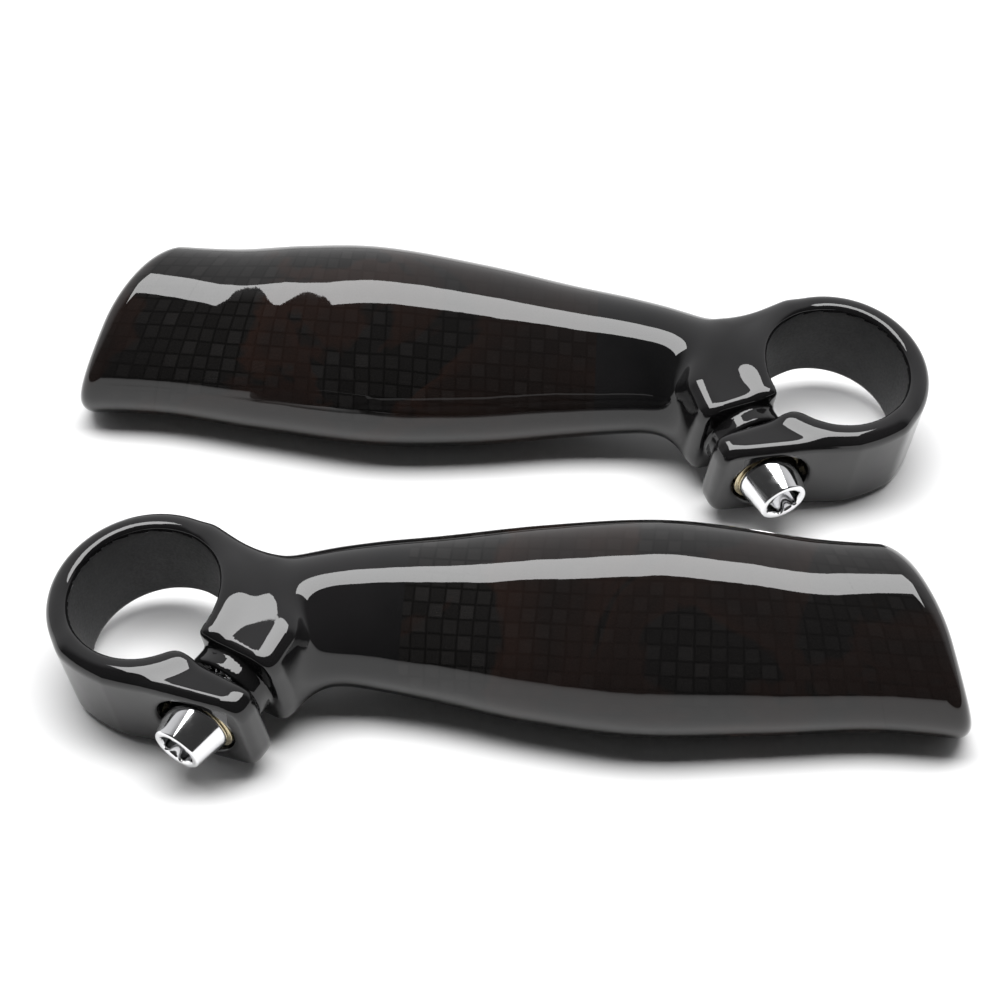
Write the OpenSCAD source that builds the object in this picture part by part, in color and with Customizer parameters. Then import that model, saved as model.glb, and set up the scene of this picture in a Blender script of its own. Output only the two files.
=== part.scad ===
// A pair of carbon bar end grips: left and right mirror images lying flat, ring ends apart.
// Millimetres, Z up from the surface they lie on.

/* [Handlebar clamp] */

// Radius of the bore that closes on the handlebar end
bore_r = 11.1; // [10.5:0.05:16]
// Wall of the clamp ring outside the bore
ring_wall = 3.4; // [2.5:0.1:6]
// Width of the clamp ring along the handlebar
clamp_width = 16; // [12:0.5:24]
// Rounding of the bore mouth
bore_lip = 0.85; // [0.3:0.05:1.5]
// Rounding of the outer ring edges
ring_edge = 1.4; // [0.5:0.1:1.6]
// Width of the split between the two jaws
split_gap = 3.3; // [1.5:0.1:5]
// Distance of the middle of the split from the bore centre
split_offset = 3.6; // [0:0.1:6]
// Turn of the split from the grip direction, degrees
split_turn = 28; // [10:1:45]
// Distance of the lower ear's tip from the bore centre
ear_reach = 24.5; // [20:0.5:32]
// Slope of the lower ear's outer face, degrees
ear_slope = 12.5; // [5:0.5:20]
// Distance of the upper jaw's tip from the bore centre
jaw_reach = 24; // [20:0.5:30]

/* [Clamp bolt] */

// Distance of the bolt axis from the bore centre
bolt_reach = 15.8; // [15:0.1:20]
// Nominal thread radius
thread_r = 3; // [2:0.5:4]
// Radius of the head where it sits on the washer
head_base_r = 4.8; // [4:0.1:6]
// Radius of the head at its outer end
head_end_r = 3.7; // [3:0.1:5]
// Height of the head
head_height = 5.7; // [3:0.1:8]
// Hex socket across its flats
socket_flats = 5; // [3:0.5:6]
// Depth of the hex socket
socket_depth = 3.2; // [1:0.1:5]
// Length of the threaded shank below the head
shank_length = 19; // [10:0.5:26]
// Radius of the pocket for the head in the lower ear
pocket_r = 5.7; // [5:0.1:7]
// Distance of the pocket floor from the bore centre plane
pocket_floor = 9.2; // [7:0.1:11]
// Thickness of the washer
washer_thick = 0.8; // [0.5:0.1:1.6]
// Outer radius of the steel insert
insert_r = 4; // [3.5:0.1:5]
// Length of the steel insert
insert_length = 11; // [5:0.5:12]
// Radius of the round boss on the upper jaw that closes the split round the bolt
boss_r = 6.2; // [5:0.1:7]
// Gap left between that boss and the lower ear
boss_gap = 0.8; // [0.4:0.1:2]

/* [Grip] */

// Wall of the carbon shell
shell_wall = 1.8; // [1:0.1:3]
// Distance of the shell's open end from the bore centre
shell_start = 36; // [30:1:50]
// Distance of the joint between shell and end cap
shell_end = 101; // [90:1:104]
// Distance of the end face from the bore centre
grip_length = 113; // [108:0.5:125]
// Rounding of the rim of the end face
end_round = 3.2; // [1:0.1:5]
// Slant of the end face, run per unit of rise
end_slant = 0.36; // [0:0.01:0.6]
// Extra fall of the end face towards the top, per square of rise
end_crown = 0.02; // [0:0.001:0.05]
// Lean of the broad palm face from upright, degrees
palm_lean = 47; // [20:1:70]
// Squareness of the cross section, 2 is an ellipse
section_power = 2.3; // [2:0.1:3]
// Bond line between pieces that are glued together
bond_gap = 0.1; // [0.05:0.01:0.2]
// Length of the clamp's spigot inside the shell
spigot_length = 24; // [12:1:40]
// Length of the end cap's plug inside the shell
plug_length = 6; // [3:0.5:12]

/* [How the pair lies] */

// Height of the ring centre above the surface
ring_height = 10.8; // [9:0.1:16]
// Lean of the ring axis away from the grip, degrees
ring_lean = 7.2; // [0:0.1:15]
// Lean of the ring axis towards the bolt side, degrees
ring_roll = 9.4; // [0:0.1:20]
// Ring centre of the left bar end
left_at = [-49.57, -24.93]; // [-100:0.01:100]
// Turn of the left bar end, degrees
left_turn = -7; // [-45:0.5:45]
// Ring centre of the right bar end
right_at = [50.43, 22.87]; // [-100:0.01:100]
// Turn of the right bar end, degrees
right_turn = -3; // [-45:0.5:45]

/* [Hidden] */

$fn = 64;
// where the cutters reach past the metal
slack = 1;
// running clearance of the bolt parts
run_gap = 0.05;
// points round one grip section
round_points = 32;
// distance between grip sections
section_step = 4;
ring_r = bore_r + ring_wall;
split_top = split_gap / 2 - split_offset;
split_bottom = -split_gap / 2 - split_offset;
ear_tip_r = 2;
jaw_tip_r = 2.6;
ear_corner = 3.5;
spigot_taper = 0.4;
spigot_nose = 2;
hex_sides = 6;
hex_r = socket_flats / 2 / cos(180 / hex_sides);
head_seat = -pocket_floor - washer_thick - 2 * run_gap;
boss_end = split_bottom + boss_gap;
insert_start = boss_end + 0.4;

// along, across, height, half the long side and half the short side of the grip's sections
stations = [
  [4, -0.6, 11.4, 6.6, 6.2],
  [14, 0.6, 12.2, 7.6, 7.0],
  [22, 2.6, 12.2, 9.4, 8.1],
  [30, 4.1, 12.0, 10.5, 8.6],
  [40, 4.8, 11.9, 11.9, 9.2],
  [54, 4.5, 12.9, 14.1, 10.2],
  [70, 4.7, 13.8, 15.5, 10.9],
  [86, 6.7, 13.0, 14.6, 10.0],
  [100, 8.4, 12.1, 13.3, 9.3],
  [116, 8.6, 12.1, 13.4, 9.0],
];
// the end face starts to slant here
slant_start = 66;

// ---- smooth run of the grip's sections

function span_of(x, i = 1) =
  i >= len(stations) - 2 || x < stations[i][0] ? i : span_of(x, i + 1);

// slope of station values at station i
function slope_at(i) =
  let (a = max(i - 1, 0), b = min(i + 1, len(stations) - 1))
  (stations[b] - stations[a]) / (stations[b][0] - stations[a][0]);

// section values at distance x, a smooth curve through the stations
function section_at(x) =
  let (
    i = span_of(x),
    p = stations[i - 1],
    q = stations[i],
    h = q[0] - p[0],
    t = (x - p[0]) / h
  )
  (1 + 2 * t) * pow(1 - t, 2) * p
  + t * pow(1 - t, 2) * h * slope_at(i - 1)
  + t * t * (3 - 2 * t) * q
  + t * t * (t - 1) * h * slope_at(i);

function power_of(value) = sign(value) * pow(abs(value), 2 / section_power);

// how far the section at distance x is drawn back at rise u, to meet the slanted end face
function draw_back(x, u) =
  let (t = min(max((x - slant_start) / (grip_length - slant_start), 0), 1))
  t * t * (3 - 2 * t) * (end_slant * u + end_crown * pow(max(u, 0), 2));

// one closed section at distance x, drawn in by inset
function section(x, inset) =
  let (s = section_at(x))
  [for (i = [0 : round_points - 1])
    let (
      a = 360 * i / round_points,
      u = (s[3] - inset) * power_of(cos(a)),
      v = (s[4] - inset) * power_of(sin(a))
    )
    [
      x - draw_back(x, u),
      s[1] + u * sin(palm_lean) - v * cos(palm_lean),
      s[2] + u * cos(palm_lean) + v * sin(palm_lean)
    ]];

// solid skinned over rings of equal point count, closed at both ends
module skin(rings) {
  n = round_points;
  last = (len(rings) - 1) * n;
  polyhedron(
    points = [for (ring = rings) each ring],
    faces = concat(
      [[for (i = [0 : n - 1]) i]],
      [for (k = [0 : len(rings) - 2], i = [0 : n - 1])
        let (a = k * n + i, b = k * n + (i + 1) % n)
        each [[a, a + n, b], [b, a + n, b + n]]],
      [[for (i = [n - 1 : -1 : 0]) last + i]]
    )
  );
}

// skin whose last ring meets its first, for a hollow piece
module closed_skin(rings) {
  n = round_points;
  m = len(rings);
  polyhedron(
    points = [for (ring = rings) each ring],
    faces = [for (k = [0 : m - 1], i = [0 : n - 1])
      let (
        a = k * n + i,
        b = k * n + (i + 1) % n,
        c = ((k + 1) % m) * n + i,
        d = ((k + 1) % m) * n + (i + 1) % n
      )
      each [[a, c, b], [b, c, d]]]
  );
}

function steps(from, to) =
  let (count = ceil((to - from) / section_step))
  [for (k = [0 : count]) from + (to - from) * k / count];

function reversed(list) = [for (k = [len(list) - 1 : -1 : 0]) list[k]];

// ---- frames

// frame of one whole bar end, grip along +X from the ring
module bar_end(side) {
  if (side == "left")
    translate([left_at[0], left_at[1], 0]) rotate([0, 0, left_turn]) children();
  else
    translate([right_at[0], right_at[1], 0]) rotate([0, 0, right_turn]) mirror([1, 0, 0])
      children();
}

// frame of the clamp: bore along Z, split along X, bolt along Y
module clamp_frame()
  translate([0, 0, ring_height]) rotate([ring_roll, -ring_lean, 0])
    rotate([0, 0, -split_turn]) children();

// cylinder along the bolt axis from one distance to another
module bolt_round(from, to, r, r_end)
  translate([bolt_reach, from, 0]) rotate([-90, 0, 0])
    cylinder(h = to - from, r1 = r, r2 = r_end);

// ---- clamp

// half section of the ring, mouth and edges rounded
module ring_profile() {
  half = clamp_width / 2;
  translate([bore_r, bore_lip - half]) square([ring_wall - ring_edge, clamp_width - 2 * bore_lip]);
  translate([bore_r + bore_lip, -half])
    square([ring_wall - bore_lip - ring_edge, clamp_width]);
  translate([bore_r + bore_lip, ring_edge - half])
    square([ring_wall - bore_lip, clamp_width - 2 * ring_edge]);
  for (s = [-1, 1]) {
    translate([bore_r + bore_lip, s * (half - bore_lip)]) circle(r = bore_lip);
    translate([ring_r - ring_edge, s * (half - ring_edge)]) circle(r = ring_edge);
  }
}

// everything the bore and its rounded mouths take away
module bore_space() {
  half = clamp_width / 2;
  mouth = half - bore_lip;
  rotate_extrude() {
    translate([0, -clamp_width]) square([bore_r, 2 * clamp_width]);
    for (s = [-1, 1])
      difference() {
        translate([bore_r - slack, s > 0 ? mouth : -clamp_width])
          square([bore_lip + slack, clamp_width - mouth]);
        translate([bore_r + bore_lip, s * mouth]) circle(r = bore_lip);
      }
  }
}

// side outline that rounds the corners of an ear's free end
module ear_side(reach) {
  half = clamp_width / 2;
  translate([0, -half]) square([reach - ear_corner, clamp_width]);
  translate([0, ear_corner - half]) square([reach, clamp_width - 2 * ear_corner]);
  for (s = [-1, 1])
    translate([reach - ear_corner, s * (half - ear_corner)]) circle(r = ear_corner);
}

module lower_ear_plan() {
  start = [ring_r * sin(ear_slope), -ring_r * cos(ear_slope)];
  tip_x = ear_reach - ear_tip_r;
  polygon([
    [0, split_bottom],
    [0, -ring_r],
    start,
    start + (tip_x - start[0]) * [1, tan(ear_slope)],
    [tip_x, split_bottom],
  ]);
  translate([tip_x, split_bottom - ear_tip_r]) circle(r = ear_tip_r);
}

module upper_jaw_plan() {
  tip_x = jaw_reach - jaw_tip_r;
  polygon([
    [0, split_top],
    [tip_x, split_top],
    [jaw_reach, split_top + jaw_tip_r],
    [jaw_reach - 0.5, split_top + 6],
    [ring_r, ring_r - 1],
    [0, ring_r],
  ]);
  translate([tip_x, split_top + jaw_tip_r]) circle(r = jaw_tip_r);
}

module ear(reach, from, to) {
  intersection() {
    translate([0, 0, -clamp_width / 2]) linear_extrude(clamp_width) children();
    translate([0, to, 0]) rotate([90, 0, 0]) linear_extrude(to - from) ear_side(reach);
  }
}

// neck that flows from the ring into the grip, with the spigot that is bonded in the shell
module neck() {
  nose = shell_start + spigot_length;
  fit = shell_wall + bond_gap;
  skin(concat(
    [for (x = steps(stations[0][0], shell_start)) section(x, 0)],
    [for (x = steps(shell_start, nose)) section(x, fit + spigot_taper * (x - shell_start) / spigot_length)],
    [section(nose + spigot_nose, fit + spigot_taper + spigot_nose)]
  ));
}

module clamp() {
  color("#0b0b0c")
  difference() {
    union() {
      clamp_frame() {
        rotate_extrude() ring_profile();
        ear(ear_reach, -ring_r - slack, 0) lower_ear_plan();
        ear(jaw_reach, split_top, ring_r + slack) upper_jaw_plan();
        bolt_round(boss_end, split_top + slack, boss_r, boss_r);
      }
      difference() {
        neck();
        clamp_frame()
          for (s = [-1, 1])
            translate([0, 0, s * clamp_width]) cylinder(h = clamp_width, r = ring_r, center = true);
      }
    }
    clamp_frame() {
      bore_space();
      difference() {
        translate([0, split_bottom, -clamp_width])
          cube([2 * ear_reach, split_gap, 2 * clamp_width]);
        bolt_round(boss_end, split_top + slack, boss_r, boss_r);
      }
      bolt_round(-ring_r - slack, -pocket_floor, pocket_r, pocket_r);
      bolt_round(-pocket_floor - slack, split_bottom + boss_gap / 2, thread_r + 0.3, thread_r + 0.3);
      bolt_round(boss_end - boss_gap / 2, insert_start + insert_length + 4, thread_r + 0.1,
        thread_r + 0.1);
      bolt_round(boss_end - boss_gap / 2, insert_start + insert_length, insert_r + run_gap,
        insert_r + run_gap);
    }
  }
}

module thread_insert() {
  color("#8d9094")
  clamp_frame()
  difference() {
    bolt_round(insert_start, insert_start + insert_length - run_gap, insert_r, insert_r);
    bolt_round(insert_start - slack, insert_start + insert_length + slack,
      thread_r + run_gap, thread_r + run_gap);
  }
}

// ---- bolt and washer

module bolt_washer() {
  color("#b9a06a")
  clamp_frame()
  difference() {
    bolt_round(-pocket_floor - run_gap - washer_thick, -pocket_floor - run_gap,
      pocket_r - 0.3, pocket_r - 0.3);
    bolt_round(-pocket_floor - 2 * washer_thick - slack, -pocket_floor + slack,
      thread_r + 0.1, thread_r + 0.1);
  }
}

module clamp_bolt() {
  color("#d8dadd")
  clamp_frame()
  difference() {
    union() {
      bolt_round(head_seat - head_height, head_seat, head_end_r, head_base_r);
      bolt_round(head_seat - run_gap, head_seat + shank_length, thread_r, thread_r);
    }
    translate([bolt_reach, head_seat - head_height - slack, 0]) rotate([-90, 0, 0])
      linear_extrude(socket_depth + slack) circle(r = hex_r, $fn = hex_sides);
  }
}

// ---- grip

module grip_shell() {
  color("#141210")
  closed_skin(concat(
    [for (x = steps(shell_start, shell_end)) section(x, 0)],
    reversed([for (x = steps(shell_start, shell_end)) section(x, shell_wall)])
  ));
}

module end_cap() {
  fit = shell_wall + bond_gap;
  inner = fit + shell_wall;
  plug = shell_end - plug_length;
  floor_x = grip_length - end_round;
  color("#141210")
  skin(concat(
    reversed([for (x = steps(plug, floor_x)) section(x, inner)]),
    [section(plug, fit), section(shell_end + bond_gap, fit)],
    [for (x = steps(shell_end + bond_gap, floor_x)) section(x, 0)],
    [for (a = [22.5 : 22.5 : 90])
      section(grip_length - end_round * (1 - sin(a)), end_round * (1 - cos(a)))]
  ));
}

bar_end("left") grip_shell();  // left_grip_shell
bar_end("left") end_cap();  // left_end_cap
bar_end("left") clamp();  // left_clamp
bar_end("left") thread_insert();  // left_thread_insert
bar_end("left") bolt_washer();  // left_bolt_washer
bar_end("left") clamp_bolt();  // left_clamp_bolt
bar_end("right") grip_shell();  // right_grip_shell
bar_end("right") end_cap();  // right_end_cap
bar_end("right") clamp();  // right_clamp
bar_end("right") thread_insert();  // right_thread_insert
bar_end("right") bolt_washer();  // right_bolt_washer
bar_end("right") clamp_bolt();  // right_clamp_bolt
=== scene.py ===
"""Visual model of a pair of carbon bar end grips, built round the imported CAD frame."""

import math

import bpy
import numpy as np
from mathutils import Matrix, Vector


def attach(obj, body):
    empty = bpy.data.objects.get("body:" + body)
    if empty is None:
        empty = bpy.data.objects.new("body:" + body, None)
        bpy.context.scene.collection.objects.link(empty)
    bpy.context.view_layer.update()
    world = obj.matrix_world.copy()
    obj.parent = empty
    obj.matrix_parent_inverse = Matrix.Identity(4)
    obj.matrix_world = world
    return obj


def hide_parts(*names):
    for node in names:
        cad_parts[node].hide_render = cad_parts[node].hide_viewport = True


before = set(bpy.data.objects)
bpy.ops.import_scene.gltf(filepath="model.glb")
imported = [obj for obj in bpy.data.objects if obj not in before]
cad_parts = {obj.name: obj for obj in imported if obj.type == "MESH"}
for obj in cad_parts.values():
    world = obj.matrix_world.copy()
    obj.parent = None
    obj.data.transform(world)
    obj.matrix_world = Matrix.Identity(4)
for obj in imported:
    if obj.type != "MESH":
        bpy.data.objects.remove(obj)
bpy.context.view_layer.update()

MM = 0.001

# ---- driving dimensions, the same as the CAD's, in millimetres and degrees

BORE_R = 11.1
RING_WALL = 3.4
RING_R = BORE_R + RING_WALL
CLAMP_WIDTH = 16.0
BORE_LIP = 0.85
EDGE_ROUND = 1.9
SPLIT_GAP = 3.3
SPLIT_OFFSET = 3.6
SPLIT_TURN = 28.0
EAR_REACH = 24.5
EAR_SLOPE = 12.5
JAW_REACH = 24.0
SPLIT_TOP = SPLIT_GAP / 2 - SPLIT_OFFSET
SPLIT_BOTTOM = -SPLIT_GAP / 2 - SPLIT_OFFSET

EAR_BLEND = 3.0
JAW_BLEND = 2.5
NECK_BLEND = 9.0
NECK_FLARE = 0.45
NECK_TRIM_ROUND = 3.0
NECK_START = 4.0
EAR_TIP_R = 1.9
JAW_TIP_R = 2.4
EAR_END_ROUND = 4.0
SPLIT_ROUND = 1.6
POCKET_ROUND = 1.0
# how far past the insert the bolt's hole goes on, and where it starts outside the ear
RUN_OUT = 4.0
OUTSIDE = -30.0

BOLT_REACH = 15.8
THREAD_R = 3.0
THREAD_PITCH = 1.0
HEAD_BASE_R = 4.8
HEAD_END_R = 3.7
HEAD_HEIGHT = 5.7
SOCKET_FLATS = 5.0
SOCKET_DEPTH = 3.2
SHANK_LENGTH = 19.0
POCKET_R = 5.7
POCKET_FLOOR = 9.2
WASHER_THICK = 0.8
RUN_GAP = 0.05
HOLE_GAP = 0.3
HEAD_SEAT = -POCKET_FLOOR - WASHER_THICK - 2 * RUN_GAP
INSERT_R = 4.0
INSERT_LENGTH = 11.0
BOSS_R = 6.2
BOSS_GAP = 0.8
BOSS_END = SPLIT_BOTTOM + BOSS_GAP
INSERT_START = BOSS_END + 0.4

SHELL_WALL = 1.8
SHELL_START = 36.0
SHELL_END = 101.0
GRIP_LENGTH = 113.0
END_ROUND = 3.2
END_SLANT = 0.36
END_CROWN = 0.02
SLANT_START = 66.0
PALM_LEAN = math.radians(47)
SECTION_POWER = 2.3
BOND_GAP = 0.1
SPIGOT_LENGTH = 24.0
PLUG_LENGTH = 6.0

RING_HEIGHT = 10.8
RING_LEAN = 7.2
RING_ROLL = 9.4
PLACES = {
    "left": {"at": (-49.57, -24.93), "turn": -7.0, "flip": 1},
    "right": {"at": (50.43, 22.87), "turn": -3.0, "flip": -1},
}

# along, across, height, half the long side and half the short side of the grip's sections
STATIONS = np.array([
    [4, -0.6, 11.4, 6.6, 6.2],
    [14, 0.6, 12.2, 7.6, 7.0],
    [22, 2.6, 12.2, 9.4, 8.1],
    [30, 4.1, 12.0, 10.5, 8.6],
    [40, 4.8, 11.9, 11.9, 9.2],
    [54, 4.5, 12.9, 14.1, 10.2],
    [70, 4.7, 13.8, 15.5, 10.9],
    [86, 6.7, 13.0, 14.6, 10.0],
    [100, 8.4, 12.1, 13.3, 9.3],
    [116, 8.6, 12.1, 13.4, 9.0],
])

# mesh fineness
VOXEL = 0.45
GRIP_ROUND = 128
GRIP_STEP = 0.8
LATHE_ROUND = 96
RIM_RINGS = 9

# width of one carbon tow, which is one square of the weave
TOW = 2.2


# ---- frames

def turn(axis, degrees):
    c, s = math.cos(math.radians(degrees)), math.sin(math.radians(degrees))
    if axis == "x":
        return np.array([[1, 0, 0], [0, c, -s], [0, s, c]])
    if axis == "y":
        return np.array([[c, 0, s], [0, 1, 0], [-s, 0, c]])
    return np.array([[c, -s, 0], [s, c, 0], [0, 0, 1]])


CLAMP_AXES = turn("y", -RING_LEAN) @ turn("x", RING_ROLL) @ turn("z", -SPLIT_TURN)
CLAMP_AT = np.array([0, 0, RING_HEIGHT])


def to_clamp(points):
    return (points - CLAMP_AT) @ CLAMP_AXES


def from_clamp(points):
    return points @ CLAMP_AXES.T + CLAMP_AT


def side_matrix(side):
    place = PLACES[side]
    axes = turn("z", place["turn"]) @ np.diag([place["flip"], 1, 1])
    return axes, np.array([*place["at"], 0.0])


# ---- the grip's smooth shape

def section_at(x):
    """Centre and half sizes of the section at distance x, smooth through the stations."""
    keys = STATIONS[:, 0]
    span = np.clip(np.searchsorted(keys, x, side="right"), 1, len(keys) - 1)
    before = np.maximum(np.arange(len(keys)) - 1, 0)
    after = np.minimum(np.arange(len(keys)) + 1, len(keys) - 1)
    slopes = (STATIONS[after] - STATIONS[before]) / (keys[after] - keys[before])[:, None]
    p, q = STATIONS[span - 1, 1:], STATIONS[span, 1:]
    h = (keys[span] - keys[span - 1])[..., None]
    t = np.clip((x - keys[span - 1])[..., None] / h, 0, 1)
    return (
        (1 + 2 * t) * (1 - t) ** 2 * p
        + t * (1 - t) ** 2 * h * slopes[span - 1, 1:]
        + t * t * (3 - 2 * t) * q
        + t * t * (t - 1) * h * slopes[span, 1:]
    )


def draw_back(x, u):
    """How far the section at distance x is drawn back at rise u, to meet the slanted end face."""
    t = np.clip((x - SLANT_START) / (GRIP_LENGTH - SLANT_START), 0, 1)
    return t * t * (3 - 2 * t) * (END_SLANT * u + END_CROWN * np.maximum(u, 0) ** 2)


def section_points(x, angle, inset):
    """Points of the grip's skin at distance x and angle, drawn in by inset."""
    s = section_at(x)
    cos, sin = np.cos(angle), np.sin(angle)
    power = 2 / SECTION_POWER
    u = (s[..., 2] - inset) * np.sign(cos) * np.abs(cos) ** power
    v = (s[..., 3] - inset) * np.sign(sin) * np.abs(sin) ** power
    return np.stack([
        x - draw_back(x, u),
        s[..., 0] + u * math.sin(PALM_LEAN) - v * math.cos(PALM_LEAN),
        s[..., 1] + u * math.cos(PALM_LEAN) + v * math.sin(PALM_LEAN),
    ], axis=-1)


def round_angles(count):
    """Angles that space the points of a section evenly along it."""
    fine = np.linspace(0, 2 * math.pi, 2049)
    cos, sin = np.cos(fine), np.sin(fine)
    power = 2 / SECTION_POWER
    u = 1.4 * np.sign(cos) * np.abs(cos) ** power
    v = np.sign(sin) * np.abs(sin) ** power
    run = np.concatenate([[0], np.cumsum(np.hypot(np.diff(u), np.diff(v)))])
    return np.interp(np.arange(count) * run[-1] / count, run, fine)


def grip_field(points):
    """Signed distance, near the skin, to the endless grip."""
    x, y, z = points.T
    along = x
    for _ in range(3):
        s = section_at(along)
        u = (y - s[:, 0]) * math.sin(PALM_LEAN) + (z - s[:, 1]) * math.cos(PALM_LEAN)
        along = x + draw_back(along, u)
    s = section_at(along)
    u = (y - s[:, 0]) * math.sin(PALM_LEAN) + (z - s[:, 1]) * math.cos(PALM_LEAN)
    v = -(y - s[:, 0]) * math.cos(PALM_LEAN) + (z - s[:, 1]) * math.sin(PALM_LEAN)
    size = (
        (np.abs(u) / s[:, 2]) ** SECTION_POWER + (np.abs(v) / s[:, 3]) ** SECTION_POWER
    ) ** (1 / SECTION_POWER)
    size = np.maximum(size, 0.05)
    return np.hypot(u, v) * (1 - 1 / size)


# ---- fields of the clamp

def smooth_union(a, b, radius):
    h = np.maximum(radius - np.abs(a - b), 0) / radius
    return np.minimum(a, b) - h * h * h * radius / 6


def smooth_cut(a, b, radius):
    """a with b taken away, the new edge rounded."""
    return -smooth_union(-a, b, radius)


def rounded_meet(a, b, radius):
    a, b = a + radius, b + radius
    return (
        np.minimum(np.maximum(a, b), 0)
        + np.hypot(np.maximum(a, 0), np.maximum(b, 0))
        - radius
    )


def outline_field(x, y, corners):
    """Signed distance to a closed outline of corners."""
    best = np.full(x.shape, 1e9)
    inside = np.zeros(x.shape, bool)
    count = len(corners)
    for i in range(count):
        ax, ay = corners[i]
        bx, by = corners[(i + 1) % count]
        ex, ey = bx - ax, by - ay
        t = np.clip(((x - ax) * ex + (y - ay) * ey) / (ex * ex + ey * ey), 0, 1)
        best = np.minimum(best, (x - ax - t * ex) ** 2 + (y - ay - t * ey) ** 2)
        crosses = (ay > y) != (by > y)
        if ey:
            inside ^= crosses & (x < ex * (y - ay) / ey + ax)
    return np.where(inside, -1, 1) * np.sqrt(best)


def slab_field(plan, z):
    return rounded_meet(plan, np.abs(z) - CLAMP_WIDTH / 2, EDGE_ROUND)


def ear_field(x, y, z):
    slope = math.tan(math.radians(EAR_SLOPE))
    start_x = RING_R * math.sin(math.radians(EAR_SLOPE))
    start_y = -RING_R * math.cos(math.radians(EAR_SLOPE))
    tip_r = EAR_TIP_R
    tip_x = EAR_REACH - tip_r
    plan = outline_field(x, y, [
        (-4, SPLIT_BOTTOM - tip_r + 4),
        (-4, -RING_R * 0.8),
        (start_x, start_y + tip_r),
        (tip_x, start_y + tip_r + slope * (tip_x - start_x)),
        (tip_x, SPLIT_BOTTOM - tip_r),
        (0, SPLIT_BOTTOM - tip_r),
    ]) - tip_r
    end_round = rounded_meet(x - EAR_REACH, np.abs(z) - CLAMP_WIDTH / 2, EAR_END_ROUND)
    return rounded_meet(slab_field(plan, z), end_round, 1.0)


def jaw_field(x, y, z):
    tip_r = JAW_TIP_R
    tip_x = JAW_REACH - tip_r
    plan = outline_field(x, y, [
        (0, SPLIT_TOP + tip_r),
        (tip_x, SPLIT_TOP + tip_r),
        (tip_x - 0.7, SPLIT_TOP + 6),
        (RING_R - tip_r, RING_R - tip_r - 1),
        (2, RING_R - tip_r),
    ]) - tip_r
    end_round = rounded_meet(x - JAW_REACH, np.abs(z) - CLAMP_WIDTH / 2, EAR_END_ROUND)
    return rounded_meet(slab_field(plan, z), end_round, 1.0)


def bolt_field(x, y, z, start, end, radius):
    away = np.hypot(x - BOLT_REACH, z)
    return np.maximum(away - radius, np.maximum(start - y, y - end))


def clamp_field(points):
    """Signed distance, near the skin, to the clamp with its neck, boss and holes."""
    x, y, z = to_clamp(points).T
    away = np.hypot(x, y)
    ring = slab_field(away - RING_R, z)
    neck = np.maximum(grip_field(points), NECK_START - points[:, 0])
    height = CLAMP_WIDTH / 2 + NECK_FLARE * np.maximum(away - RING_R - 1, 0)
    neck = smooth_cut(neck, height - np.abs(z), NECK_TRIM_ROUND)
    jaw = smooth_union(ring, jaw_field(x, y, z), JAW_BLEND)
    body = smooth_union(jaw, neck, NECK_BLEND)
    gap = np.maximum(np.abs(y + SPLIT_OFFSET) - SPLIT_GAP / 2, -x)
    body = smooth_cut(body, gap, SPLIT_ROUND)
    boss = rounded_meet(np.hypot(x - BOLT_REACH, z) - BOSS_R, BOSS_END - y, 0.6)
    body = smooth_union(body, np.maximum(boss, y - SPLIT_TOP - 2), 0.8)
    ear = smooth_cut(smooth_union(ring, ear_field(x, y, z), EAR_BLEND), gap, SPLIT_ROUND)
    lower = (y < SPLIT_BOTTOM + BOSS_GAP / 2) & (x > 0)
    body = np.where(lower, ear, np.minimum(body, np.where(x > 6, body, ear)))
    body = smooth_cut(body, away - BORE_R, 2.4 * BORE_LIP)
    pocket = bolt_field(x, y, z, OUTSIDE, -POCKET_FLOOR, POCKET_R)
    body = smooth_cut(body, pocket, POCKET_ROUND)
    hole = bolt_field(x, y, z, OUTSIDE, INSERT_START, THREAD_R + HOLE_GAP)
    body = np.maximum(body, -hole)
    insert_end = INSERT_START + INSERT_LENGTH
    socket = bolt_field(x, y, z, BOSS_END - 1, insert_end, INSERT_R + RUN_GAP)
    body = np.maximum(body, -socket)
    run_out = bolt_field(x, y, z, BOSS_END, insert_end + RUN_OUT, THREAD_R + 2 * RUN_GAP)
    return np.maximum(body, -run_out)


def gradient(field, points, step=0.02):
    found = np.empty_like(points)
    for axis in range(3):
        shift = np.zeros(3)
        shift[axis] = step
        found[:, axis] = (field(points + shift) - field(points - shift)) / (2 * step)
    return found


def settle(field, points, rounds):
    """Moves points onto the field's skin."""
    for _ in range(rounds):
        g = gradient(field, points)
        size = np.maximum((g * g).sum(axis=1), 0.2)
        move = (field(points) / size)[:, None] * g
        reach = np.linalg.norm(move, axis=1, keepdims=True)
        points = points - move * np.minimum(1, VOXEL / np.maximum(reach, 1e-9))
    return points


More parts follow.
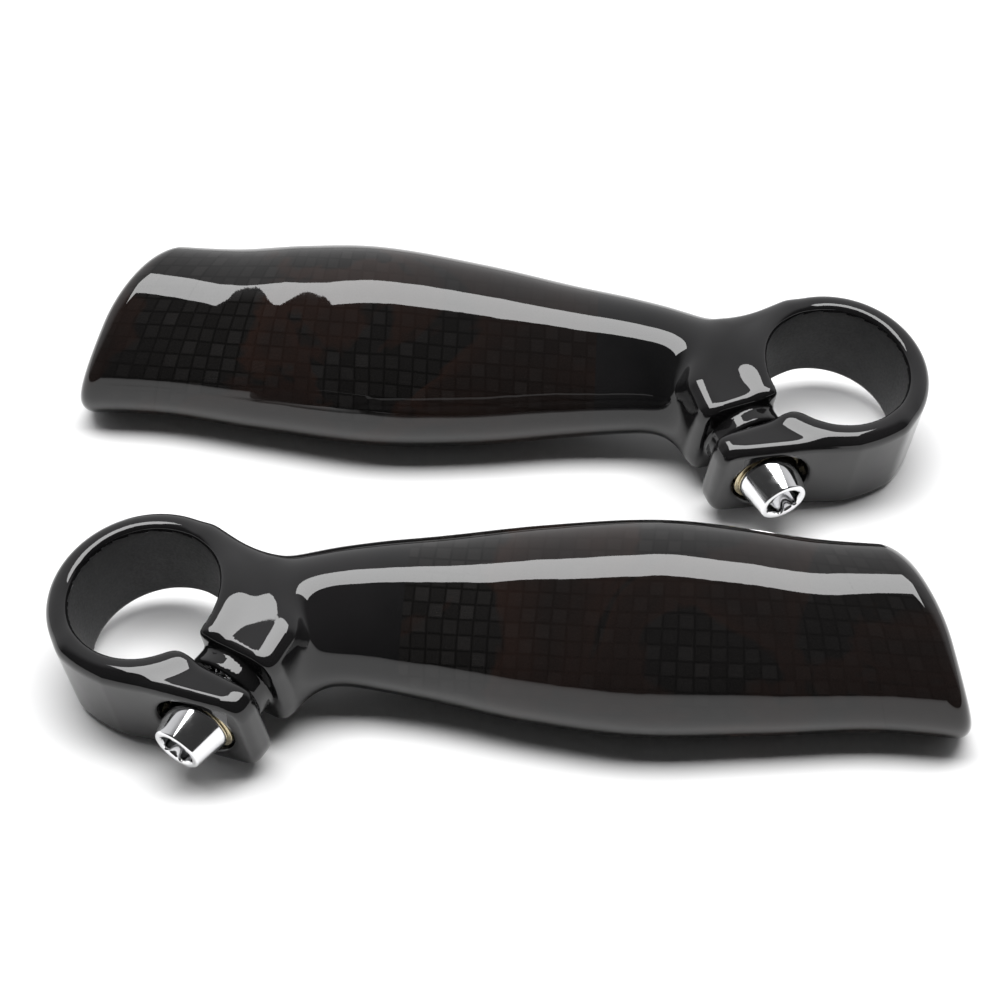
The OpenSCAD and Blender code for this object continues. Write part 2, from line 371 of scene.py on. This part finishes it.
def skin_of(field, low, high):
    """Even quad mesh of a field's zero level inside a box (surface nets)."""
    axes = [np.arange(a, b + VOXEL, VOXEL) for a, b in zip(low, high)]
    shape = tuple(len(a) for a in axes)
    grid = np.stack(np.meshgrid(*axes, indexing="ij"), axis=-1).reshape(-1, 3)
    values = np.concatenate([field(part) for part in np.array_split(grid, 8)])
    inside = values.reshape(shape) < 0
    corners = [
        inside[i:shape[0] - 1 + i, j:shape[1] - 1 + j, k:shape[2] - 1 + k]
        for i in (0, 1) for j in (0, 1) for k in (0, 1)
    ]
    total = sum(c.astype(int) for c in corners)
    active = (total > 0) & (total < 8)
    number = np.full(active.shape, -1)
    number[active] = np.arange(active.sum())
    cells = np.argwhere(active)
    points = np.stack([axes[a][cells[:, a]] + VOXEL / 2 for a in range(3)], axis=1)
    quads = []
    for axis in range(3):
        one, two = [a for a in range(3) if a != axis]
        ahead = np.roll(inside, -1, axis=axis)
        change = inside != ahead
        keep = [slice(1, -1)] * 3
        keep[axis] = slice(0, -1)
        mask = np.zeros_like(change)
        mask[tuple(keep)] = change[tuple(keep)]
        edges = np.argwhere(mask)
        step_one, step_two = np.eye(3, dtype=int)[one], np.eye(3, dtype=int)[two]
        around = [edges, edges - step_one, edges - step_one - step_two, edges - step_two]
        quad = np.stack([number[tuple(c.T)] for c in around], axis=1)
        leaves = inside[tuple(edges.T)]
        if axis == 1:
            leaves = ~leaves
        quad[~leaves] = quad[~leaves][:, ::-1]
        quads.append(quad)
    quads = np.concatenate(quads)
    quads = quads[(quads >= 0).all(axis=1)]
    points = settle(field, points, 3)
    for _ in range(3):
        points = settle(field, relaxed(points, quads), 2)
    return points, quads


def relaxed(points, quads):
    total = np.zeros_like(points)
    count = np.zeros(len(points))
    for a in range(4):
        for b in (quads[:, (a + 1) % 4], quads[:, (a - 1) % 4]):
            np.add.at(total, quads[:, a], points[b])
            np.add.at(count, quads[:, a], 1)
    return 0.5 * points + 0.5 * total / np.maximum(count, 1)[:, None]


# ---- making mesh objects

def make_piece(name, side, points, faces, normals=None, weave=None):
    """Mesh object from points in one bar end's frame; normals and weave are per face corner."""
    axes, at = side_matrix(side)
    flipped = PLACES[side]["flip"] < 0
    if flipped:
        faces = [face[::-1] for face in faces]
    mesh = bpy.data.meshes.new(name)
    mesh.from_pydata(((points @ axes.T + at) * MM).tolist(), [], [list(f) for f in faces])
    mesh.polygons.foreach_set("use_smooth", [True] * len(mesh.polygons))
    sizes = [len(f) for f in faces]
    if weave is not None:
        corners = [w[::-1] if flipped else w for w in weave]
        layer = mesh.uv_layers.new(name="weave")
        layer.data.foreach_set("uv", np.concatenate(corners).astype(np.float32).ravel())
    if normals is not None:
        corners = [n[::-1] if flipped else n for n in normals]
        split = np.concatenate(corners) @ axes.T
        mesh.normals_split_custom_set(split.tolist())
    assert sum(sizes) == len(mesh.loops)
    piece = bpy.data.objects.new(f"{side}_{name}", mesh)
    bpy.context.scene.collection.objects.link(piece)
    return piece


def face_normals(points, faces):
    found = []
    for face in faces:
        p = points[list(face)]
        n = np.zeros(3)
        for i in range(len(p)):
            n += np.cross(p[i] - p[0], p[(i + 1) % len(p)] - p[0])
        found.append(n / max(np.linalg.norm(n), 1e-12))
    return found


# ---- pieces

def build_clamp(side):
    low, high = [-18, -30, -1], [SHELL_START + 2, 19, 25]
    points, quads = skin_of(clamp_field, low, high)
    limit = SHELL_START + 0.4
    points, faces = cut_at(points, quads, limit)
    normals = gradient(clamp_field, points)
    normals /= np.maximum(np.linalg.norm(normals, axis=1, keepdims=True), 1e-9)
    tuck = np.clip((points[:, 0] - SHELL_START + 0.05) / 0.1, 0, 1)
    points = points - normals * (0.04 * tuck)[:, None]
    corner_normals = [normals[list(f)] for f in faces]
    spigot_points, spigot_faces = spigot_mesh(len(points))
    points = np.concatenate([points, spigot_points])
    flat = face_normals(points, spigot_faces)
    corner_normals += [np.repeat(n[None], len(f), axis=0) for n, f in zip(flat, spigot_faces)]
    return make_piece("clamp_skin", side, points, faces + spigot_faces, corner_normals)


def cut_at(points, quads, limit):
    """Trims the mesh at the plane x = limit, sliding the last row of points onto it."""
    points = points.copy()
    keep = (points[quads][:, :, 0] < limit).any(axis=1)
    quads = quads[keep]
    over = points[:, 0] > limit
    points[over, 0] = limit
    for _ in range(3):
        g = gradient(clamp_field, points[over])
        g[:, 0] = 0
        size = np.maximum((g * g).sum(axis=1), 0.2)
        points[over] -= (clamp_field(points[over]) / size)[:, None] * g
    used = np.unique(quads)
    number = np.full(len(points), -1)
    number[used] = np.arange(len(used))
    return points[used], [tuple(q) for q in number[quads].tolist()]


def loft(rings, start=0, closed=False, cap_first=False, cap_last=False):
    count, size = len(rings), len(rings[0])
    faces = []
    for k in range(count if closed else count - 1):
        a, b = start + k * size, start + ((k + 1) % count) * size
        for i in range(size):
            j = (i + 1) % size
            faces.append((a + i, a + j, b + j, b + i))
    if cap_first:
        faces.append(tuple(start + i for i in range(size - 1, -1, -1)))
    if cap_last:
        last = start + (count - 1) * size
        faces.append(tuple(last + i for i in range(size)))
    return np.concatenate(rings), faces


def grip_ring(x, inset, angles):
    return section_points(np.full(len(angles), x), angles, inset)


def spigot_mesh(start):
    angles = round_angles(48)
    nose = SHELL_START + SPIGOT_LENGTH
    fit = SHELL_WALL + BOND_GAP
    rings = [grip_ring(SHELL_START - 1, fit + 1, angles), grip_ring(SHELL_START + 0.4, fit, angles)]
    for x in np.linspace(SHELL_START + 2, nose, 12):
        rings.append(grip_ring(x, fit + 0.4 * (x - SHELL_START) / SPIGOT_LENGTH, angles))
    rings.append(grip_ring(nose + 2, fit + 2.4, angles))
    return loft(rings, start, cap_first=True, cap_last=True)


def skin_normals(x, inset, angles):
    """Outward normals of the grip's skin along one ring."""
    e = 0.01
    ring = np.full(len(angles), x)
    along = section_points(ring + e, angles, inset) - section_points(ring - e, angles, inset)
    points = section_points(ring, angles, inset)
    around = np.roll(points, -1, axis=0) - np.roll(points, 1, axis=0)
    n = np.cross(around, along)
    return n / np.linalg.norm(n, axis=1, keepdims=True)


def weave_ring(x, angles):
    """Distance along the grip and round it from the middle of the palm face, in tows."""
    points = grip_ring(x, 0, np.append(angles, angles[0] + 2 * math.pi))
    run = np.concatenate([[0], np.cumsum(np.linalg.norm(np.diff(points, axis=0), axis=1))])
    middle = run[len(angles) // 4]
    return np.stack([np.full(len(run), x), run - middle], axis=1) / TOW


def grip_faces_data(points, faces, kinds, size):
    """Corner normals and weave places: kinds holds (x, inset, analytic) for each ring."""
    angles = round_angles(size)
    flat = face_normals(points, faces)
    weave_cache = {}
    normal_cache = {}
    normals, weave = [], []
    for face, face_normal in zip(faces, flat):
        rows = [index // size for index in face]
        analytic = len(face) == 4 and all(kinds[r][2] for r in rows)
        n_list, w_list = [], []
        columns = {index % size for index in face}
        wraps = len(face) == 4 and {0, size - 1} <= columns
        for index, row in zip(face, rows):
            x, inset, _ = kinds[row]
            column = index % size
            if analytic:
                if (x, inset) not in normal_cache:
                    normal_cache[(x, inset)] = skin_normals(x, inset, angles)
                n_list.append(normal_cache[(x, inset)][column])
            else:
                n_list.append(face_normal)
            if x not in weave_cache:
                weave_cache[x] = weave_ring(x, angles)
            w_list.append(weave_cache[x][size if wraps and column == 0 else column])
        normals.append(np.array(n_list))
        weave.append(np.array(w_list))
    return normals, weave


def spaced(start, end, step):
    return np.linspace(start, end, max(2, int(math.ceil((end - start) / step)) + 1))


def build_shell(side):
    angles = round_angles(GRIP_ROUND)
    kinds = [(x, 0, True) for x in spaced(SHELL_START, SHELL_END, GRIP_STEP)]
    kinds += [(x, SHELL_WALL, False) for x in spaced(SHELL_START, SHELL_END, 4)[::-1]]
    points, faces = loft([grip_ring(x, inset, angles) for x, inset, _ in kinds], closed=True)
    normals, weave = grip_faces_data(points, faces, kinds, GRIP_ROUND)
    return make_piece("grip_skin", side, points, faces, normals, weave)


def build_cap(side):
    angles = round_angles(GRIP_ROUND)
    fit = SHELL_WALL + BOND_GAP
    plug = SHELL_END - PLUG_LENGTH
    floor_x = GRIP_LENGTH - END_ROUND
    kinds = [(x, fit + SHELL_WALL, False) for x in spaced(plug, floor_x, 4)[::-1]]
    kinds += [(plug, fit, False), (SHELL_END + 0.02, fit, False)]
    kinds += [(x, 0, True) for x in spaced(SHELL_END + 0.01, floor_x, GRIP_STEP)]
    rings = [grip_ring(x, inset, angles) for x, inset, _ in kinds]
    for a in np.radians(np.linspace(0, 90, RIM_RINGS + 1)[1:]):
        x = GRIP_LENGTH - END_ROUND * (1 - math.sin(a))
        inset = END_ROUND * (1 - math.cos(a))
        kinds.append((x, inset, True))
        rings.append(grip_ring(x, inset, angles))
    points, faces = loft(rings, cap_first=True, cap_last=True)
    normals, weave = grip_faces_data(points, faces, kinds, GRIP_ROUND)
    rim_normals(points, faces, normals, kinds)
    return make_piece("end_cap_skin", side, points, faces, normals, weave)


def rim_normals(points, faces, normals, kinds):
    """Turns the skin's normals over the rounded rim to the end face's."""
    size = GRIP_ROUND
    first = len(kinds) - RIM_RINGS
    centre = points[-size:].mean(axis=0)
    end = np.cross(points[-size] - centre, points[-size + size // 4] - centre)
    end *= np.sign(end[0]) / np.linalg.norm(end)
    for f, face in enumerate(faces):
        if len(face) != 4 or max(face) // size < first:
            continue
        for c, index in enumerate(face):
            row = index // size
            if row >= first:
                t = math.radians(90 * (row - first + 1) / RIM_RINGS)
                mixed = math.cos(t) * normals[f][c] + math.sin(t) * end
                normals[f][c] = mixed / np.linalg.norm(mixed)


# ---- turned pieces, on the bolt's axis

# radius of the small ring that closes a turned face at its middle
MIDDLE_R = 0.02
DRILL_POINT = 1.1
SOCKET_FLOOR_SHARE = 0.93
SOCKET_MOUTH = ((0.12, 0.02, 0.2), (0.38, 0.04, 0.02))
HEAD_RIM = 0.55
HEAD_FLANGE = 0.7
THREAD_START = 1.4
THREAD_DEPTH = 0.53

def axis_points(radius, along, count):
    """Ring of points round the bolt axis at a distance along it."""
    a = np.arange(count) * 2 * math.pi / count
    radius = np.broadcast_to(radius, (count,))
    along = np.broadcast_to(along, (count,))
    return np.stack([BOLT_REACH + radius * np.cos(a), along, radius * np.sin(a)], axis=1)


def rounded_profile(corners, radius, steps=4):
    """Profile with its inner corners rounded, corners as (radius, along)."""
    corners = [np.array(c, float) for c in corners]
    found = [corners[0]]
    for before, here, after in zip(corners, corners[1:], corners[2:]):
        one, two = before - here, after - here
        r = min(radius, 0.45 * np.linalg.norm(one), 0.45 * np.linalg.norm(two))
        a = here + one / np.linalg.norm(one) * r
        b = here + two / np.linalg.norm(two) * r
        for k in range(steps + 1):
            t = k / steps
            found.append((1 - t) ** 2 * a + 2 * t * (1 - t) * here + t * t * b)
    found.append(corners[-1])
    return found


def hex_radius(flats, count):
    a = np.arange(count) * 2 * math.pi / count
    folded = (a + math.pi / 6) % (math.pi / 3) - math.pi / 6
    return flats / 2 / np.cos(folded)


def thread_radius(along, count, low, high, start, end):
    """Radius round the axis of a screw thread at a distance along it."""
    a = np.arange(count) / count
    phase = (along / THREAD_PITCH - a) % 1
    wave = 1 - np.abs(2 * phase - 1)
    wave = np.clip(1.35 * wave - 0.12, 0, 1)
    fade = np.clip(min(along - start, end - along) / THREAD_PITCH, 0, 1)
    return low + (high - low) * wave * fade


def build_bolt(side):
    count = LATHE_ROUND
    end_y = HEAD_SEAT - HEAD_HEIGHT
    flats = hex_radius(SOCKET_FLATS, count)
    rings = [axis_points(MIDDLE_R, end_y + SOCKET_DEPTH + DRILL_POINT, count)]
    rings.append(axis_points(flats * SOCKET_FLOOR_SHARE, end_y + SOCKET_DEPTH, count))
    for y in (end_y + SOCKET_DEPTH - 0.1, end_y + 0.45):
        rings.append(axis_points(flats, y, count))
    for least, grow, depth in SOCKET_MOUTH:
        mouth = np.maximum(flats, SOCKET_FLATS / 2 + least) + grow
        rings.append(axis_points(mouth, end_y + depth, count))
    head = [
        (SOCKET_FLATS / 2 + HEAD_RIM, end_y),
        (HEAD_END_R, end_y),
        (HEAD_BASE_R, HEAD_SEAT - HEAD_FLANGE),
        (HEAD_BASE_R, HEAD_SEAT),
        (THREAD_R + 0.4, HEAD_SEAT),
    ]
    for r, y in rounded_profile(head, 0.5, 6):
        rings.append(axis_points(r, y, count))
    start = HEAD_SEAT + THREAD_START
    end = HEAD_SEAT + SHANK_LENGTH
    rings.append(axis_points(THREAD_R - 0.06, HEAD_SEAT + 0.3, count))
    for y in np.arange(start, end - 0.5, THREAD_PITCH / 10):
        crest = THREAD_R - 0.03
        radius = thread_radius(y, count, crest - THREAD_DEPTH, crest, start - 0.5, end)
        rings.append(axis_points(radius, y, count))
    rings.append(axis_points(THREAD_R - 0.75, end, count))
    rings.append(axis_points(0.05, end, count))
    return turned_piece("bolt", side, rings)


def build_washer(side):
    top, bottom = -POCKET_FLOOR - RUN_GAP, -POCKET_FLOOR - RUN_GAP - WASHER_THICK
    inner, outer = THREAD_R + 0.1, POCKET_R - 0.3
    corners = [
        (inner, (top + bottom) / 2), (inner, bottom), (outer, bottom),
        (outer, top), (inner, top), (inner, (top + bottom) / 2),
    ]
    rings = [axis_points(r, y, LATHE_ROUND) for r, y in rounded_profile(corners, 0.14)[:-1]]
    return turned_piece("washer", side, rings, closed=True)


def build_insert(side):
    start, end = INSERT_START, INSERT_START + INSERT_LENGTH - RUN_GAP
    middle = (start + end) / 2
    outer = [(INSERT_R, middle), (INSERT_R, start), (THREAD_R + 0.45, start), (THREAD_R + 0.15, start + 0.5)]
    rings = [axis_points(r, y, LATHE_ROUND) for r, y in rounded_profile(outer, 0.3)]
    for y in np.arange(start + 0.7, end - 0.6, THREAD_PITCH / 6):
        radius = thread_radius(y, LATHE_ROUND, THREAD_R + 0.05, THREAD_R + 0.35, start, end)
        rings.append(axis_points(radius, y, LATHE_ROUND))
    inner = [(THREAD_R + 0.15, end - 0.5), (THREAD_R + 0.45, end), (INSERT_R, end), (INSERT_R, middle + 0.2)]
    rings += [axis_points(r, y, LATHE_ROUND) for r, y in rounded_profile(inner, 0.3)]
    return turned_piece("insert", side, rings, closed=True)


def turned_piece(name, side, rings, closed=False):
    points, faces = loft(rings, closed=closed, cap_first=not closed, cap_last=not closed)
    points = from_clamp(points)
    middle = points.mean(axis=0)
    volume = sum(
        np.dot(points[f[0]] - middle, np.cross(points[f[1]] - middle, points[f[2]] - middle))
        for f in faces if len(f) == 4
    )
    if volume < 0:
        faces = [f[::-1] for f in faces]
    piece = make_piece(name, side, points, faces)
    piece.data.set_sharp_from_angle(angle=math.radians(38))
    return piece


# ---- materials

def new_material(name):
    material = bpy.data.materials.new(name)
    material.use_nodes = True
    nodes = material.node_tree.nodes
    return material, nodes, material.node_tree.links, nodes["Principled BSDF"]


def math_node(nodes, links, operation, *values):
    node = nodes.new("ShaderNodeMath")
    node.operation = operation
    for socket, value in zip(node.inputs, values):
        if isinstance(value, (int, float)):
            socket.default_value = value
        else:
            links.new(value, socket)
    return node.outputs[0]


def noise_node(nodes, links, vector, scale, detail=3.0, rough=0.5, distort=0.0):
    node = nodes.new("ShaderNodeTexNoise")
    node.inputs["Scale"].default_value = scale
    node.inputs["Detail"].default_value = detail
    node.inputs["Roughness"].default_value = rough
    node.inputs["Distortion"].default_value = distort
    links.new(vector, node.inputs["Vector"])
    return node.outputs["Fac"]


def ramp_node(nodes, links, value, stops):
    node = nodes.new("ShaderNodeValToRGB")
    ramp = node.color_ramp
    while len(ramp.elements) < len(stops):
        ramp.elements.new(0.5)
    for element, (place, colour) in zip(ramp.elements, stops):
        element.position = place
        element.color = (*colour, 1)
    links.new(value, node.inputs["Fac"])
    return node.outputs["Color"]


def mix_node(nodes, links, factor, one, two):
    node = nodes.new("ShaderNodeMix")
    node.data_type = "RGBA"
    for socket, value in ((node.inputs[0], factor), (node.inputs[6], one), (node.inputs[7], two)):
        if isinstance(value, tuple):
            socket.default_value = (*value, 1)
        elif isinstance(value, (int, float)):
            socket.default_value = value
        else:
            links.new(value, socket)
    return node.outputs[2]


def bump_node(nodes, links, height, strength, distance, normal=None):
    node = nodes.new("ShaderNodeBump")
    node.inputs["Strength"].default_value = strength
    node.inputs["Distance"].default_value = distance
    links.new(height, node.inputs["Height"])
    if normal is not None:
        links.new(normal, node.inputs["Normal"])
    return node.outputs["Normal"]


def place_vector(nodes):
    node = nodes.new("ShaderNodeTexCoord")
    return node.outputs["Object"]


def set_lacquer(shader):
    shader.inputs["Coat Weight"].default_value = 1.0
    shader.inputs["Coat Roughness"].default_value = 0.025
    shader.inputs["Coat IOR"].default_value = 1.5
    shader.inputs["IOR"].default_value = 1.45
    shader.inputs["Specular IOR Level"].default_value = 0.0


def carbon_material():
    material, nodes, links, shader = new_material("carbon_lacquer")
    place = place_vector(nodes)
    weave = nodes.new("ShaderNodeUVMap")
    weave.uv_map = "weave"
    parts = nodes.new("ShaderNodeSeparateXYZ")
    wobble = noise_node(nodes, links, place, 90, 2)
    links.new(weave.outputs["UV"], parts.inputs[0])
    shift = math_node(nodes, links, "MULTIPLY", math_node(nodes, links, "SUBTRACT", wobble, 0.5), 0.35)
    u = math_node(nodes, links, "ADD", parts.outputs[0], shift)
    v = math_node(nodes, links, "ADD", parts.outputs[1], shift)
    cell_u = math_node(nodes, links, "FLOOR", u)
    cell_v = math_node(nodes, links, "FLOOR", v)
    in_u = math_node(nodes, links, "FRACT", u)
    in_v = math_node(nodes, links, "FRACT", v)
    cells = math_node(nodes, links, "ADD", cell_u, cell_v)
    parity = math_node(nodes, links, "FLOORED_MODULO", cells, 2)
    edge_u = math_node(nodes, links, "ABSOLUTE", math_node(nodes, links, "SUBTRACT", in_u, 0.5))
    edge_v = math_node(nodes, links, "ABSOLUTE", math_node(nodes, links, "SUBTRACT", in_v, 0.5))
    edge = math_node(nodes, links, "MAXIMUM", edge_u, edge_v)
    gap = nodes.new("ShaderNodeMapRange")
    gap.interpolation_type = "SMOOTHSTEP"
    gap.inputs["From Min"].default_value = 0.36
    gap.inputs["From Max"].default_value = 0.5
    links.new(edge, gap.inputs["Value"])
    # each tow's own shade
    joined = nodes.new("ShaderNodeCombineXYZ")
    links.new(cell_u, joined.inputs[0])
    links.new(cell_v, joined.inputs[1])
    random = nodes.new("ShaderNodeTexWhiteNoise")
    random.noise_dimensions = "3D"
    links.new(joined.outputs[0], random.inputs["Vector"])
    # fine filaments along each tow
    fine = nodes.new("ShaderNodeCombineXYZ")
    across = mix_value(nodes, links, parity, u, v)
    along = mix_value(nodes, links, parity, v, u)
    links.new(math_node(nodes, links, "MULTIPLY", across, 14.0), fine.inputs[0])
    links.new(math_node(nodes, links, "MULTIPLY", along, 0.6), fine.inputs[1])
    filament = noise_node(nodes, links, fine.outputs[0], 1.0, 2)
    # the parity term makes warp and weft tows differ in brightness: a painted sheen, for how light catches
    # fibres running each way; the random and filament terms are the tows' own tone
    tone_and_sheen = math_node(nodes, links, "ADD",
                      math_node(nodes, links, "MULTIPLY", random.outputs["Value"], 0.3),
                      math_node(nodes, links, "MULTIPLY", parity, 0.3))
    tone_and_sheen = math_node(nodes, links, "ADD", tone_and_sheen,
                      math_node(nodes, links, "MULTIPLY", filament, 0.4))
    tow = ramp_node(nodes, links, tone_and_sheen, [
        (0.0, (0.006, 0.0055, 0.0052)), (0.55, (0.0105, 0.0098, 0.0095)), (1.0, (0.022, 0.0205, 0.02)),
    ])
    tow = mix_node(nodes, links, gap.outputs[0], tow, (0.0035, 0.0032, 0.003))
    # noise patches where the weave is tinted brown, most strongly in a band at their edges, and others where
    # it fades towards near black
    island = noise_node(nodes, links, place, 42, 4, 0.55, 0.6)
    brown = ramp_node(nodes, links, island, [
        (0.50, (0, 0, 0)), (0.535, (1, 1, 1)), (0.62, (0.55, 0.55, 0.55)), (0.75, (0.2, 0.2, 0.2)),
    ])
    tow = mix_node(nodes, links, math_node(nodes, links, "MULTIPLY", brown, 0.55),
                   tow, (0.026, 0.0125, 0.009))
    veil = ramp_node(nodes, links, noise_node(nodes, links, place, 24, 3), [
        (0.38, (0, 0, 0)), (0.62, (1, 1, 1)),
    ])
    colour = mix_node(nodes, links, math_node(nodes, links, "MULTIPLY", veil, 0.6),
                      tow, (0.007, 0.0065, 0.0065))
    links.new(colour, shader.inputs["Base Color"])
    rough = math_node(nodes, links, "ADD", 0.34,
                      math_node(nodes, links, "MULTIPLY", random.outputs["Value"], 0.22))
    links.new(rough, shader.inputs["Roughness"])
    height = math_node(nodes, links, "SUBTRACT",
                       math_node(nodes, links, "MULTIPLY", filament, 0.35), gap.outputs[0])
    links.new(bump_node(nodes, links, height, 0.25, 0.00008), shader.inputs["Normal"])
    set_lacquer(shader)
    lacquer_bump(nodes, links, shader, place)
    return material


def mix_value(nodes, links, factor, one, two):
    node = nodes.new("ShaderNodeMix")
    node.data_type = "FLOAT"
    links.new(factor, node.inputs[0])
    links.new(one, node.inputs[2])
    links.new(two, node.inputs[3])
    return node.outputs[0]


def lacquer_bump(nodes, links, shader, place):
    """The clear coat's faint unevenness."""
    swell = noise_node(nodes, links, place, 130, 2, 0.45)
    dust = noise_node(nodes, links, place, 2600, 1)
    height = math_node(nodes, links, "ADD", swell, math_node(nodes, links, "MULTIPLY", dust, 0.01))
    links.new(bump_node(nodes, links, height, 0.35, 0.00018), shader.inputs["Coat Normal"])


def paint_material():
    material, nodes, links, shader = new_material("clamp_lacquer")
    place = place_vector(nodes)
    colour = ramp_node(nodes, links, noise_node(nodes, links, place, 60, 4), [
        (0.3, (0.005, 0.005, 0.0052)), (0.7, (0.011, 0.0105, 0.011)),
    ])
    links.new(colour, shader.inputs["Base Color"])
    rough = ramp_node(nodes, links, noise_node(nodes, links, place, 700, 3), [
        (0.3, (0.28, 0.28, 0.28)), (0.7, (0.42, 0.42, 0.42)),
    ])
    links.new(rough, shader.inputs["Roughness"])
    set_lacquer(shader)
    lacquer_bump(nodes, links, shader, place)
    return material


def bore_material():
    material, nodes, links, shader = new_material("bore_matt")
    place = place_vector(nodes)
    grain = noise_node(nodes, links, place, 2400, 4, 0.6)
    blotch = noise_node(nodes, links, place, 110, 3)
    colour = ramp_node(nodes, links, blotch, [
        (0.3, (0.016, 0.016, 0.017)), (0.7, (0.028, 0.028, 0.029)),
    ])
    links.new(colour, shader.inputs["Base Color"])
    rough = ramp_node(nodes, links, grain, [(0.3, (0.5, 0.5, 0.5)), (0.7, (0.68, 0.68, 0.68))])
    links.new(rough, shader.inputs["Roughness"])
    links.new(bump_node(nodes, links, grain, 0.4, 0.00003), shader.inputs["Normal"])
    shader.inputs["IOR"].default_value = 1.45
    return material


def metal_material(name, dark, light, low, high, scale=900):
    material, nodes, links, shader = new_material(name)
    place = place_vector(nodes)
    tone = noise_node(nodes, links, place, scale / 4, 4)
    links.new(ramp_node(nodes, links, tone, [(0.3, dark), (0.7, light)]), shader.inputs["Base Color"])
    grain = noise_node(nodes, links, place, scale, 5, 0.6)
    rough = ramp_node(nodes, links, grain, [(0.3, (low,) * 3), (0.7, (high,) * 3)])
    links.new(rough, shader.inputs["Roughness"])
    links.new(bump_node(nodes, links, grain, 0.15, 0.00001), shader.inputs["Normal"])
    shader.inputs["Metallic"].default_value = 1.0
    return material


def floor_material():
    material, _, _, shader = new_material("floor_white")
    shader.inputs["Base Color"].default_value = (0.93, 0.93, 0.93, 1)
    shader.inputs["Roughness"].default_value = 0.8
    return material


MATERIALS = {
    "carbon": carbon_material(),
    "paint": paint_material(),
    "bore": bore_material(),
    "chrome": metal_material("bolt_chrome", (0.78, 0.78, 0.79), (0.9, 0.9, 0.91), 0.05, 0.13),
    "washer": metal_material("washer_plated", (0.55, 0.47, 0.3), (0.75, 0.66, 0.45), 0.2, 0.34),
    "steel": metal_material("insert_steel", (0.36, 0.36, 0.37), (0.5, 0.5, 0.5), 0.25, 0.4),
}


def paint_bore(piece, side):
    """Gives the bore wall its own matt finish."""
    piece.data.materials.append(MATERIALS["paint"])
    piece.data.materials.append(MATERIALS["bore"])
    axes, at = side_matrix(side)
    count = len(piece.data.polygons)
    centres = np.empty(count * 3)
    piece.data.polygons.foreach_get("center", centres)
    local = to_clamp((centres.reshape(-1, 3) / MM - at) @ axes)
    away = np.hypot(local[:, 0], local[:, 1])
    wall = (np.abs(away - BORE_R) < 0.06) & (np.abs(local[:, 2]) < CLAMP_WIDTH / 2)
    piece.data.polygons.foreach_set("material_index", wall.astype(np.int32))


# ---- assembly

def add(piece, side, node, body, material=None):
    if material:
        piece.data.materials.append(MATERIALS[material])
    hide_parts(f"{side}_{node}")
    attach(piece, f"{side}_{body}")


for side in PLACES:
    clamp = build_clamp(side)
    paint_bore(clamp, side)
    add(clamp, side, "clamp", "bar_end")
    add(build_shell(side), side, "grip_shell", "bar_end", "carbon")
    add(build_cap(side), side, "end_cap", "bar_end", "carbon")
    add(build_insert(side), side, "thread_insert", "bar_end", "steel")
    add(build_washer(side), side, "bolt_washer", "washer", "washer")
    add(build_bolt(side), side, "clamp_bolt", "bolt", "chrome")


# ---- stage, light and camera

FLOOR_HALF = 3.0


def make_floor():
    half = FLOOR_HALF
    mesh = bpy.data.meshes.new("floor")
    mesh.from_pydata([(-half, -half, 0), (half, -half, 0), (half, half, 0), (-half, half, 0)],
                     [], [(0, 1, 2, 3)])
    floor = bpy.data.objects.new("floor", mesh)
    bpy.context.scene.collection.objects.link(floor)
    mesh.materials.append(floor_material())


def aim(thing, place, target):
    thing.location = place
    thing.rotation_euler = (Vector(target) - Vector(place)).to_track_quat("-Z", "Y").to_euler()


def area_light(name, place, target, size, power, colour=(1, 1, 1)):
    data = bpy.data.lights.new(name, "AREA")
    data.shape = "RECTANGLE"
    data.size, data.size_y = size
    data.energy = power
    data.color = colour
    light = bpy.data.objects.new(name, data)
    bpy.context.scene.collection.objects.link(light)
    aim(light, place, target)
    return light


def make_world():
    world = bpy.data.worlds.new("studio")
    bpy.context.scene.world = world
    world.use_nodes = True
    nodes, links = world.node_tree.nodes, world.node_tree.links
    coordinates = nodes.new("ShaderNodeTexCoord")
    parts = nodes.new("ShaderNodeSeparateXYZ")
    links.new(coordinates.outputs["Generated"], parts.inputs[0])
    # dark on the viewer's side, pale behind and above
    toward = math_node(nodes, links, "ADD",
                       math_node(nodes, links, "MULTIPLY", parts.outputs[1], 0.5), 0.5)
    colour = ramp_node(nodes, links, toward, [
        (0.0, (0.03, 0.03, 0.03)), (0.45, (0.05, 0.05, 0.05)),
        (0.6, (0.6, 0.6, 0.61)), (1.0, (0.95, 0.95, 0.96)),
    ])
    background = nodes["Background"]
    links.new(colour, background.inputs["Color"])
    background.inputs["Strength"].default_value = 1.0


LIGHT_AT = (0, 0.02, 0.8)
LIGHT_AIM = (0, 0.02, 0)
LIGHT_SIZE = (0.9, 0.35)
LIGHT_POWER = 9

TARGET = (-0.0002, 0.0018, 0.00904)
DISTANCE = 0.4477
ELEVATION = math.radians(44.71)
FOCAL_PIXELS = 2981
IMAGE_PIXELS = 1001
SENSOR = 36.0


def make_camera():
    data = bpy.data.cameras.new("camera")
    data.sensor_width = SENSOR
    data.lens = FOCAL_PIXELS / IMAGE_PIXELS * SENSOR
    data.clip_start = 0.01
    camera = bpy.data.objects.new("camera", data)
    bpy.context.scene.collection.objects.link(camera)
    place = (
        TARGET[0],
        TARGET[1] - DISTANCE * math.cos(ELEVATION),
        TARGET[2] + DISTANCE * math.sin(ELEVATION),
    )
    aim(camera, place, TARGET)
    bpy.context.scene.camera = camera


bpy.context.scene.view_settings.view_transform = "Standard"
make_floor()
make_world()
area_light("overhead", LIGHT_AT, LIGHT_AIM, LIGHT_SIZE, LIGHT_POWER)
make_camera()
